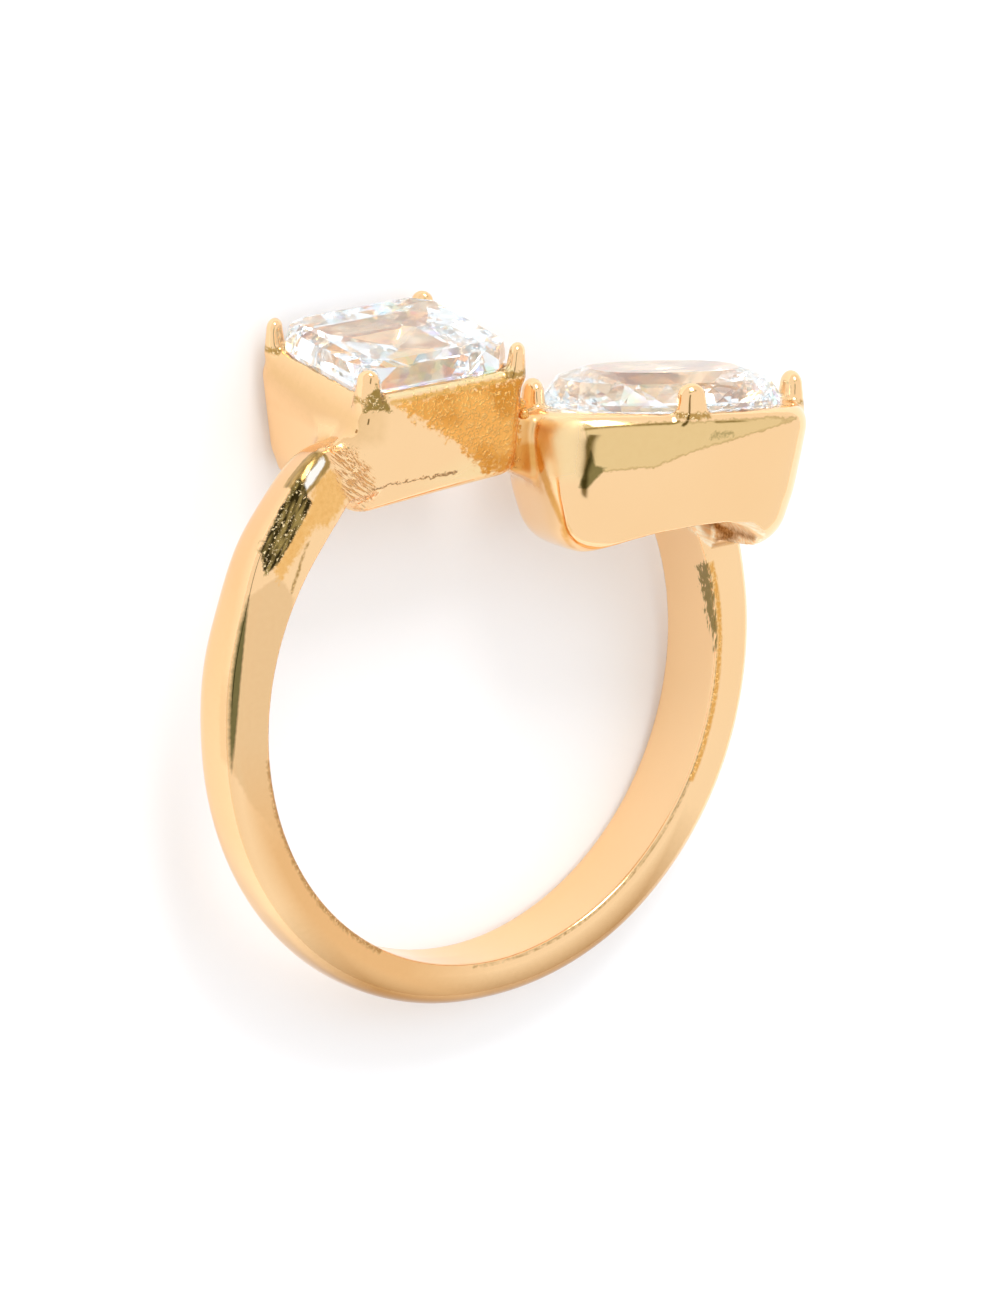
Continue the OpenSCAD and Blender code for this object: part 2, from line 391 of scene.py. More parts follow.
def skin(field, low, high, step):
    """Surface nets over a whole grid at once: returns points and four-cornered faces."""
    axes = [np.arange(l, h + step, step) for l, h in zip(low, high)]
    grid = np.stack(np.meshgrid(*axes, indexing="ij"), -1)
    value = field(grid).astype(np.float32)
    shape = np.array(value.shape)
    strides = np.array([shape[1] * shape[2], shape[2], 1])
    total, hits = np.zeros((value.size, 3)), np.zeros(value.size)
    faces = []
    for axis in range(3):
        first = [slice(None)] * 3
        second = [slice(None)] * 3
        first[axis], second[axis] = slice(None, -1), slice(1, None)
        a, b = value[tuple(first)], value[tuple(second)]
        cross = np.argwhere((a < 0) != (b < 0))
        fa, fb = a[tuple(cross.T)], b[tuple(cross.T)]
        place = cross.astype(float)
        place[:, axis] += fa / (fa - fb)
        u, v = (axis + 1) % 3, (axis + 2) % 3
        home = cross @ strides
        corners = np.stack([home - strides[u] - strides[v], home - strides[v], home,
                            home - strides[u]], 1)
        for corner in corners.T:
            hits += np.bincount(corner, minlength=value.size)
            for k in range(3):
                total[:, k] += np.bincount(corner, place[:, k], minlength=value.size)
        faces.append(np.where((fa < 0)[:, None], corners, corners[:, ::-1]))
    used = np.flatnonzero(hits)
    number = np.full(value.size, -1)
    number[used] = np.arange(len(used))
    points = total[used] / hits[used, None] * step + np.array(low)
    return points, number[np.concatenate(faces)]


def slope_of(field, points, reach=0.004):
    """The field's value and its slope at each point, by small steps both ways."""
    value = field(points)
    slope = np.stack([(field(points + reach * e) - field(points - reach * e)) / (2 * reach)
                      for e in np.eye(3)], -1)
    return value, slope


def relax(field, points, faces, rounds):
    """Each round moves every point halfway to its neighbours' mean, then back onto zero."""
    ends = np.concatenate([faces[:, [i, (i + 1) % 4]] for i in range(4)])
    for _ in range(rounds):
        near = np.stack([np.bincount(ends[:, 0], points[ends[:, 1], k], len(points))
                         for k in range(3)], -1)
        count = np.bincount(ends[:, 0], minlength=len(points))[:, None]
        points = 0.5 * points + 0.5 * near / count
        value, slope = slope_of(field, points)
        steep = np.maximum((slope**2).sum(-1, keepdims=True), LEAST_STEEP)
        points = points - np.clip(value[:, None] * slope / steep, -LONGEST_STEP, LONGEST_STEP)
    return points


# %% The ring's metal as one piece
def add_mesh(name, points, faces, smooth=True):
    """Puts whole arrays of points and faces into a new object at the origin."""
    mesh = bpy.data.meshes.new(name)
    mesh.from_pydata(lay_down(points).tolist(), [], faces.tolist())
    mesh.polygons.foreach_set("use_smooth", np.full(len(mesh.polygons), smooth))
    mesh.update()
    piece = bpy.data.objects.new(name, mesh)
    bpy.context.scene.collection.objects.link(piece)
    return piece


points, faces = skin(metal_field, GRID_LOW, GRID_HIGH, VOXEL)
points = relax(metal_field, points, faces, RELAX_ROUNDS)
ring_metal = add_mesh("ring_metal", points, faces)
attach(ring_metal, "root")
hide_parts("metal_ring")
print("casting:", len(points), "points,", 2 * len(faces), "triangles")

# %% [markdown]
# ## Where the casting is rough, and where light and shade are painted
# A worn casting isn't equally smooth all over. The polishing wheel doesn't reach the wall between
# the cups, so that wall keeps the rough skin of the mould. The shoulder shows the file's strokes,
# and its bevel has pits. Other places are smooth, and shade, highlights and reflections of the
# tent are painted into their colour. Most places are outlined by a few corners in the plane where
# they are seen best, and those that follow the loop are given by radius and angle. Every point of
# the skin stores how far it lies from each outline, so that the material can find the place again.

# %% Distance to an outline with corners
def outline_distance(u, v, corners):
    """Least distance to the outline's straight edges, counted negative inside. A point is
    inside when a line from it to one side crosses the edges an odd number of times."""
    corners = np.array(corners, float)
    least, crossings = np.full(len(u), 1e9), np.zeros(len(u), int)
    for (ax, ay), (bx, by) in zip(corners, np.roll(corners, -1, 0)):
        along = np.clip(((u - ax) * (bx - ax) + (v - ay) * (by - ay))
                        / ((bx - ax) ** 2 + (by - ay) ** 2), 0, 1)
        least = np.minimum(least, np.hypot(u - ax - along * (bx - ax), v - ay - along * (by - ay)))
        step = by - ay if abs(by - ay) > 1e-9 else 1e-9
        crossings += ((ay > v) != (by > v)) & (u < ax + (v - ay) / step * (bx - ax))
    return np.where(crossings % 2 == 1, -least, least)


def store(mesh, name, values):
    """Keeps one number or one vector for every point of the mesh."""
    kind, key = ("FLOAT_VECTOR", "vector") if values.ndim == 2 else ("FLOAT", "value")
    layer = mesh.attributes.new(name, kind, "POINT")
    layer.data.foreach_set(key, values.astype(np.float32).ravel())


# %% The skin's points seen from the loop and from the cups
left, right = into_cup(points, LEFT_CUP), into_cup(points, RIGHT_CUP)
x, y, z = points.T
left_x, left_y, left_z = left.T
right_x, right_y, right_z = right.T
radius, angle = np.hypot(x, y), loop_angle(x, y)
near_left = np.maximum(-0.75 - z, x + 3)  # the left shoulder's nearest 0.75 mm


def meet(*fields):
    """Inside only where every field is: the greatest of their values."""
    return np.maximum.reduce(fields)


def outlined(u, v, limit, corners):
    """Inside the outline in the plane of u and v, and only where the limit is negative."""
    return np.maximum(outline_distance(u, v, corners), limit)


# %% Patches on the left shoulder
PATCHES = {
    "file_strokes": outlined(x, y, near_left, [
        (-6.6, 9.25), (-5.9, 9.2), (-5.2, 8.4), (-4.9, 7.4), (-5.0, 6.7), (-5.9, 7.4),
        (-6.4, 8.6)]),
    "deep_gold": outlined(x, y, near_left, [
        (-6.75, 8.69), (-6.14, 8.35), (-6.0, 7.5), (-6.9, 6.9), (-7.6, 6.85), (-8.14, 6.2),
        (-8.5, 5.8), (-9.0, 5.2), (-9.2, 5.8), (-8.6, 6.65), (-7.8, 7.5), (-7.35, 8.35)]),
    # painted highlight: a near-white stripe along the bevel of the left shoulder
    "bevel_painted_highlight": outlined(x, y, near_left, [
        (-6.91, 9.1), (-6.84, 8.9), (-7.2, 8.6), (-7.5, 8.36), (-7.96, 8.08), (-7.98, 8.27),
        (-7.64, 8.68), (-7.17, 8.97)]),
    # painted dark reflection along the side of the bevel, broken into grooves
    "bevel_painted_dark_reflection": outlined(x, y, near_left, [
        (-6.8, 9.2), (-6.6, 8.75), (-7.35, 8.28), (-7.95, 7.9), (-8.35, 8.3), (-7.7, 8.95),
        (-7.2, 9.3)]),
    # pits with a real bump, whose colour is darkened as a painted dark reflection
    "bevel_pits_and_dark_reflection": outlined(x, y, meet(-0.3 - z, x + 3, (radius - 11.7) * 2), [
        (-7.6, 7.7), (-8.25, 6.85), (-9.0, 5.95), (-9.6, 5.55), (-9.75, 6.4), (-9.2, 7.3),
        (-8.6, 8.0), (-7.95, 8.75), (-7.85, 8.3), (-7.75, 7.9)]),
    # painted shade: tan over the flat near face of the left arm
    "arm_shade": outlined(x, y, -0.5 - z, [
        (-11.5, 0.3), (-10.3, -1.95), (-8.7, -3.9), (-8.2, -3.3), (-9.0, 0), (-8.4, 4.6),
        (-9.0, 5.5), (-10.2, 5.0)]),
    "arm_crack": outlined(x, y, -0.3 - z, [
        (-7.7, 6.5), (-7.76, 6.39), (-8.01, 5.96), (-8.2, 5.38), (-8.38, 5.0), (-8.5, 4.7),
        (-8.54, 4.7), (-8.5, 5.0), (-8.33, 5.38), (-8.11, 5.96), (-7.86, 6.39)]),
}

# %% Patches on the left cup
PATCHES |= {
    "mould_skin": outlined(left_x, left_z, left_y + 2.0, [
        (-1.9, -1.2), (0.2, -1.15), (3.6, -1.1), (3.6, -4.6), (1.9, -4.5), (0.9, -3.4),
        (-0.4, -2.4), (-1.5, -1.7)]),
    # painted highlight: a bright golden line along the left cup's near rim
    "rim_painted_highlight": outlined(left_x, left_z, left_y + 2.75, [
        (-2.2, -1.06), (2.6, -1.02), (2.6, -0.7), (-2.2, -0.7)]),
    # painted shade: a thin dark line under the rim's painted highlight
    "ledge_shade_line": outlined(left_x, left_z, left_y + 2.75, [
        (-2.2, -1.26), (2.4, -1.2), (2.4, -1.06), (-2.2, -1.12)]),
    # painted shade: darker tan over the upper part of the left cup's left wall
    "wall_shade": outlined(left_y, left_z, left_x + 2.6, [
        (-3.2, -1.3), (2.8, -1.2), (2.6, -1.9), (0, -2.5), (-3.2, -2.3)]),
    # painted dark reflections on the left cup's front claw, with a slight bump
    "claw_dark_reflections": outlined(left_x, left_z, left_y + 2.4, [
        (-3.2, -1.4), (-3.0, -0.75), (-2.8, -0.4), (-2.38, -1.0), (-2.1, -1.5), (-2.85, -1.3)]),
}

# %% Patches on the right cup and between the cups
PATCHES |= {
    # painted reflection: deeper orange down the near corner of the right cup's left end
    "corner_orange_reflection": outlined(right_y, right_z, right_x + 3, [
        (-1.05, -1.9), (-1.45, -2.1), (-1.75, -3.2), (-1.98, -4.1), (-2.0, -4.9), (-1.5, -5.6),
        (-1.45, -5.5), (-1.8, -4.7), (-1.65, -4.0), (-1.35, -3.2), (-0.95, -2.6)]),
    # painted reflection of the tent's olive opening on the right cup's near wall
    "tent_shade": outlined(right_x, right_z, right_y + 1.5, [
        (-3.8, -1.3), (-3.75, -2.3), (-3.5, -2.86), (-2.6, -2.78), (-2.0, -2.72), (-1.5, -2.74),
        (-0.55, -2.38), (0.9, -1.98), (2.4, -1.64), (4.0, -1.34), (3.0, -1.24), (0, -1.26)]),
    # painted dark reflection: the hooked foot of the dark streak on the right cup
    "painted_streak_foot": outlined(right_x, right_z, right_y + 1.5, [
        (-3.66, -2.1), (-3.52, -2.62), (-3.15, -2.72), (-3.5, -3.12), (-3.74, -3.42),
        (-4.0, -3.38), (-3.86, -2.8)]),
    # a small darker olive spot on the right cup's near wall
    "olive_spot": outlined(right_x, right_z, right_y + 1.5, [
        (0.5, -1.68), (1.35, -1.6), (1.35, -1.76), (0.5, -1.84)]),
    # painted light: paler gold on the right cup's left end, rough enough to blur the orange of the
    # left cup mirrored there
    "end_painted_light": outlined(right_y, right_z, right_x + 3.9, [
        (-1.3, -1.0), (-2.6, -1.0), (-2.6, -3.0), (-1.7, -3.3), (-1.35, -2.4)]),
    # painted light: pale peach stripes in the arch under the right cup
    "recess_painted_light": outlined(right_x, right_z, -2.5 - right_y, [
        (1.0, -4.7), (2.4, -4.75), (3.1, -5.2), (3.1, -5.9), (2.7, -6.0), (2.2, -6.02),
        (1.6, -5.5)]),
    # painted shade: dark brown deep in the arch under the right cup
    "recess_painted_shade": outlined(right_x, right_z, -2.2 - right_y, [
        (1.85, -4.95), (2.3, -5.1), (2.7, -5.35), (2.64, -5.6), (2.45, -5.85), (2.36, -5.75),
        (2.4, -5.5), (2.2, -5.25)]),
    # painted shade: deeper orange on the near face of the web between the cups
    "web_shade": outlined(x, y, np.abs(z + 0.7) - 0.6, [
        (0.9, 9.6), (2.6, 9.0), (2.6, 6.4), (1.0, 6.6)]),
}


# %% Painted shade and painted highlights round the feet of the claws
def claw_foot(p, tip_x, tip_y, reach, height):
    """A low disc round a claw's foot, 0.2 mm high, repeated in the cup's four quarters."""
    away = np.hypot(np.abs(p[:, 0]) - tip_x, np.abs(p[:, 1]) - tip_y)
    return meet(away - reach, np.abs(p[:, 2] - height) - 0.1)


# painted shade round each claw's foot, with dots of painted highlight
PATCHES["claw_foot_shade"] = reduce(np.minimum, (
    claw_foot(left, *LEFT_TIPS, 0.6, -0.98),
    claw_foot(right, RIGHT_TIPS[0], 0, 0.66, -1.06),
    claw_foot(right, 0, RIGHT_TIPS[1] + 0.1, 0.66, -1.06)))

# %% Painted shades, painted reflections and other lines that follow the loop
DEGREES_PER_MM = 6
SHADE_PER_DEGREE = 0.03


def shade_along(middle, reach):
    """Negative on both sides of an angle, rising slowly, so that a shade fades along the band."""
    return np.abs(angle - middle) * SHADE_PER_DEGREE - reach


def bore_line(at_radius, half, middle, reach, depth):
    """A line round the bore: near one radius, near one angle, and not deeper than one depth."""
    line = meet(np.abs(radius - at_radius) - half, np.abs(angle - middle) / DEGREES_PER_MM - reach)
    return line + np.clip(-depth - z, 0, 1)


PATCHES |= {
    # painted shade: darker brown gold on the outer part of the band's bottom
    "low_shade": meet(10.2 - radius, -1.1 - z, shade_along(0, 1.25)),
    # painted shade on the inner part of the band's near face, at the lower left
    "dome_shade": meet(radius - 10.35, -0.9 - z, shade_along(-45, 1)),
    # painted shade on the outer side of the left arm
    "outer_shade": meet(11.1 - radius, z + 0.3, shade_along(-110, 1)),
    # painted dark reflection along the outer edge of the left arm's near face
    "edge_shade": meet(
        np.abs(radius - 10.9 - 0.0008 * (angle + 92) ** 2) - 0.14 + 0.0006 * (angle + 101) ** 2,
        -0.7 - z),
    # painted shade: a short dark line along the top edge of the right arm's near face
    "arm_top_shade_line": meet(np.abs(y - 3.42) - 0.075, np.abs(x - 9.66) - 0.52, -0.1 - z),
    # painted dark reflection: olive streaks on the bore of the right arm
    "bore_dark_reflection": outlined(y, z, meet(8.5 - x, (radius - 9.45) * 4), [
        (3.0, 0.3), (2.5, -0.6), (1.2, -0.5), (-0.3, -0.1), (-0.3, 0.3)]),
    "inner_edge": bore_line(9.56, 0.09, 84, 3.9, 0.1),
    "inner_rim": bore_line(9.48, 0.1, -58, 4.6, 0.3),
    "inner_line": bore_line(9.5, 0.03, 30, 6, 0.12),
}

# %% Store the patches
for name, values in PATCHES.items():
    store(ring_metal.data, name, values)
    print(name, "points inside:", int((values < 0).sum()))
store(ring_metal.data, "ring_mm", points)
store(ring_metal.data, "left_cup_mm", left)

# %% [markdown]
# ## Cut stones
# A clear stone shows what its facets send back, so it is modelled as a cutter works: a flat
# table, star and kite facets on the crown, a thin girdle, and a pavilion that closes in a keel.
# Rings of corner points are worked out first. Each ring is half a step on from the last, except
# at the girdle, and is joined to it by triangles, so every facet stays flat and sharp.

# %% Outlines as points
def cut_corner_points(turns, half, scale):
    """Points round a rectangle with cut corners. Whole twelfths of a turn are its eight corners
    and the middles of its sides; points between them lie on the line that joins them."""
    a, b, c = np.array(half) * scale
    quarter = np.array([[a, 0], [a, b - c], [a - c, b]])
    corners = np.concatenate([quarter, np.array([[0, b], [c - a, b], [-a, b - c]])])
    corners = np.concatenate([corners, -corners])
    place = turns * 12
    whole = np.floor(place).astype(int)
    part = (place - whole)[:, None]
    return corners[whole % 12] * (1 - part) + corners[(whole + 1) % 12] * part


def oval_points(turns, half, scale, power):
    """Points round |x/a|^p + |y/b|^p = 1: cosine and sine, each raised to 2/p."""
    t = 2 * math.pi * turns
    c, s = np.cos(t), np.sin(t)
    return np.stack([half[0] * scale * np.sign(c) * np.abs(c) ** (2 / power),
                     half[1] * scale * np.sign(s) * np.abs(s) ** (2 / power)], -1)


# %% Rings of corners joined by triangles
def cut_stone(outline, steps, rings, keel):
    """Rings are (height, scale, half steps on). Two rings of n points are joined by 2n
    triangles. The first ring is capped by the table, and the last is joined to the two ends
    of the keel."""
    points, faces, start = [], [], []
    turns = np.arange(steps) / steps
    for height, scale, shift in rings:
        plan = outline(turns + shift * 0.5 / steps, scale)
        start.append(len(np.concatenate(points)) if points else 0)
        points.append(np.column_stack([plan, np.full(steps, height)]))
    k = np.arange(steps)
    after = (k + 1) % steps
    middle = np.array([[0, 0, rings[0][0]]])
    points += [middle, np.array(keel)]
    points = np.concatenate(points)
    centre = steps * len(rings)
    faces.append(np.column_stack([np.full(steps, centre), k, after]))
    for (upper, lower), (a, b) in zip(zip(start, start[1:]), zip(rings, rings[1:])):
        if a[2] < b[2]:
            faces.append(np.column_stack([upper + k, lower + k, upper + after]))
            faces.append(np.column_stack([upper + after, lower + k, lower + after]))
        else:
            faces.append(np.column_stack([upper + k, lower + k, lower + after]))
            faces.append(np.column_stack([upper + k, lower + after, upper + after]))
    last = start[-1]
    ends = np.array([centre + 1, centre + 2])
    mid = (points[last + k] + points[last + after]) / 2
    side = np.argmin(((mid[:, None, :] - points[ends][None]) ** 2).sum(-1), 1)
    faces.append(np.column_stack([last + k, ends[side], last + after]))
    turn = np.flatnonzero(side != np.roll(side, 1))
    faces.append(np.column_stack([last + turn, ends[np.roll(side, 1)[turn]], ends[side[turn]]]))
    return points, np.concatenate(faces)


# %% [markdown]
# ## The two stones of this ring
# The left stone is a radiant cut: a rectangle with cut corners and a large table. The right one
# is a long rounded cushion with a higher crown. Their girdles sit just above the rims, a hair
# clear of the metal, and the claws stand round them.

# %% Stones in their cups
WARM_SHARE, WARM, COOL = 0.45, [[0.9, 0.82, 0.76, 1]], [[0.8, 0.88, 0.93, 1]]
PALE = 0.93
LEAST_TINT, TINT_SPREAD = 0.3, 0.5


def put_stone(name, points, faces, cup, node):
    """Puts a stone into its cup, and gives each facet a pale tint and a share by chance."""
    stone = add_mesh(name, out_of_cup(points, cup), faces, smooth=False)
    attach(stone, "root")
    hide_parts(node)
    chance = np.random.default_rng(len(faces)).random((3, len(faces), 1))
    hue = np.where(chance[0] < WARM_SHARE, WARM, COOL)
    pastel = PALE + (hue - PALE) * chance[1] ** 2
    share = stone.data.attributes.new("facet_share", "FLOAT", "FACE")
    amount = chance[2].ravel().astype(np.float32)
    share.data.foreach_set("value", LEAST_TINT + TINT_SPREAD * amount)
    tints = stone.data.attributes.new("facet_tint", "FLOAT_COLOR", "FACE")
    tints.data.foreach_set("color", pastel.astype(np.float32).ravel())
    print(name, "facets:", len(faces))
    return stone


STEPS = 24
radiant = cut_stone(
    lambda t, s: cut_corner_points(t, RADIANT_HALF, s), STEPS,
    [(0.05, 0.88, 0), (-0.12, 0.99, 1), (-0.55, 1.0, 0), (-0.85, 1.0, 0), (-1.3, 0.9, 1),
     (-1.75, 0.8, 0), (-2.2, 0.62, 1), (-2.5, 0.5, 0)],
    [[0, 0.5, -3.1], [0, -0.5, -3.1]],
)
radiant_cut = put_stone("radiant_cut", *radiant, LEFT_CUP, "radiant_stone")
oval = cut_stone(
    lambda t, s: oval_points(t, OVAL_HALF, s, OVAL_POWER), STEPS,
    [(0.25, 0.64, 0), (-0.06, 0.88, 1), (-0.74, 1.0, 0), (-0.95, 1.0, 0), (-1.35, 0.85, 1),
     (-1.75, 0.7, 0), (-2.1, 0.54, 1), (-2.5, 0.36, 0)],
    [[1, 0, -2.95], [-1, 0, -2.95]],
)
cushion_cut = put_stone("cushion_cut", *oval, RIGHT_CUP, "oval_stone")

# %% [markdown]
# ## Gold
# Gold's colour is all in its reflection: a metal shader, a warm base, and very little roughness.
# What keeps it from looking like plastic is unevenness. The plating is a little cloudy, and the
# polish leaves fine waves. Noise on Object coordinates drives both, at scales of millimetres.

# %% Node helpers
def new_material(name):
    material = bpy.data.materials.new(name)
    material.use_nodes = True
    nodes = material.node_tree.nodes
    return material, nodes, material.node_tree.links, nodes["Principled BSDF"]


def set_sockets(node, values):
    """Sets constants on a node's own sockets, given by their names."""
    for name, value in values.items():
        node.inputs[name].default_value = value


def noise(nodes, links, vector, scale, detail=3, rough=0.5):
    node = nodes.new("ShaderNodeTexNoise")
    set_sockets(node, {"Scale": scale, "Detail": detail, "Roughness": rough})
    links.new(vector, node.inputs["Vector"])
    return node.outputs["Fac"]


def spread_to(nodes, links, value, low, high, start=0.0, stop=1.0):
    """Maps start..stop of a value to low..high, kept inside them."""
    node = nodes.new("ShaderNodeMapRange")
    set_sockets(node, {"From Min": start, "From Max": stop, "To Min": low, "To Max": high})
    links.new(value, node.inputs["Value"])
    return node.outputs["Result"]


def calc(nodes, links, operation, a, b=None):
    """One step of arithmetic on sockets or plain numbers."""
    node = nodes.new("ShaderNodeMath")
    node.operation = operation
    for socket, value in zip(node.inputs, (a, b)):
        if isinstance(value, (int, float)):
            socket.default_value = value
        elif value is not None:
            links.new(value, socket)
    return node.outputs["Value"]


def mix_colour(nodes, links, factor, under, over):
    """Under where the factor is 0, over where it is 1. Both are sockets or plain colours."""
    node = nodes.new("ShaderNodeMix")
    node.data_type = "RGBA"
    links.new(factor, node.inputs["Factor"])
    for socket, colour in ((node.inputs["A"], under), (node.inputs["B"], over)):
        if isinstance(colour, tuple):
            socket.default_value = (*colour, 1)
        else:
            links.new(colour, socket)
    return node.outputs["Result"]


def stored(nodes, name, output="Fac"):
    """Reads what was stored on the mesh under a name."""
    node = nodes.new("ShaderNodeAttribute")
    node.attribute_name = name
    return node.outputs[output]


def streaks(nodes, links, vector, turn, along, across):
    """Noise drawn out into strokes: turned about Z, then scaled less along than across."""
    turned = nodes.new("ShaderNodeVectorRotate")
    turned.rotation_type = "Z_AXIS"
    turned.inputs["Angle"].default_value = math.radians(turn)
    links.new(vector, turned.inputs["Vector"])
    scaled = nodes.new("ShaderNodeVectorMath")
    scaled.operation = "MULTIPLY"
    scaled.inputs[1].default_value = (along, across, across)
    links.new(turned.outputs["Vector"], scaled.inputs[0])
    return noise(nodes, links, scaled.outputs["Vector"], 1.0, 2)


# %% [markdown]
# ## One gold, many places
# The stored distances become masks. Noise is added to a distance before it is compared with
# zero, which turns a straight outline into a ragged one. Each mask then changes the colour, the
# roughness and the height together. Where a mask is a real mark, a rough place is also a darker
# one, as on real metal. Many other masks are painted shade, painted highlights and painted
# reflections of the tent. The masks lie over each other like coats of paint, so their order
# counts.

# %% Masks from stored distances
gold, nodes, links, shader = new_material("gold_polish")
where = nodes.new("ShaderNodeTexCoord").outputs["Object"]
ring_mm, cup_mm = stored(nodes, "ring_mm", "Vector"), stored(nodes, "left_cup_mm", "Vector")
speck = noise(nodes, links, ring_mm, 5, 4, 0.6)
grain = noise(nodes, links, ring_mm, 9, 3, 0.6)


def place(name, ragged, soft=0.04, uneven=None):
    """1 inside the patch: its distance plus noise times an amount, compared with zero."""
    uneven = calc(nodes, links, "SUBTRACT", speck if uneven is None else uneven, 0.5)
    wobble = calc(nodes, links, "MULTIPLY", uneven, ragged)
    return spread_to(nodes, links, calc(nodes, links, "ADD", stored(nodes, name), wobble),
                     1, 0, -soft, soft)


def rim_of(name, ragged, width):
    """1 in a narrow line along the patch's outline, which wanders with the same noise."""
    wobble = calc(nodes, links, "MULTIPLY", calc(nodes, links, "SUBTRACT", speck, 0.5), ragged)
    off = calc(nodes, links, "ABSOLUTE", calc(nodes, links, "ADD", stored(nodes, name), wobble))
    return spread_to(nodes, links, off, 0.8, 0, 0, width)


# %% The plain polish: a cloudy colour, a little roughness and fine waves
ramp = nodes.new("ShaderNodeValToRGB")
ramp.color_ramp.elements[0].color = (0.95, 0.62, 0.32, 1)
ramp.color_ramp.elements[1].color = (0.99, 0.69, 0.39, 1)
links.new(noise(nodes, links, where, 180, 4), ramp.inputs["Fac"])
colour = ramp.outputs["Color"]
rough = spread_to(nodes, links, noise(nodes, links, where, 900, 5, 0.6), 0.06, 0.14, 0.3, 0.7)
height = calc(nodes, links, "MULTIPLY", noise(nodes, links, where, 700, 2), 0.006)

# %% Patterns inside the patches
dots = spread_to(nodes, links, grain, 0, 1, 0.56, 0.64)
glitter = spread_to(nodes, links, grain, 0, 1, 0.5, 0.68)
strokes = spread_to(nodes, links, streaks(nodes, links, ring_mm, 38, 1.6, 17), 0, 1, 0.45, 0.6)
# streaks for the painted dark reflection on the bore
bore_reflection_streaks = streaks(nodes, links, ring_mm, -80, 0.9, 12)
# streaks of painted light and shade in the arch under the right cup
recess_painted_streaks = spread_to(nodes, links, streaks(nodes, links, ring_mm, 28, 0.8, 9),
                           0, 1, 0.42, 0.62)
grooves = streaks(nodes, links, ring_mm, -55, 1.2, 6)
clouds = noise(nodes, links, ring_mm, 0.7, 2)
# near-black streaks for the painted dark reflection in the bevel's pits
painted_dark_grooves = mix_colour(nodes, links, spread_to(nodes, links, grooves, 0, 1, 0.4, 0.62),
                   (0.035, 0.024, 0.006), (0.34, 0.24, 0.075))
cloudy = mix_colour(nodes, links, spread_to(nodes, links, clouds, 0, 1, 0.4, 0.6),
                    (0.7, 0.29, 0.04), (0.9, 0.45, 0.11))

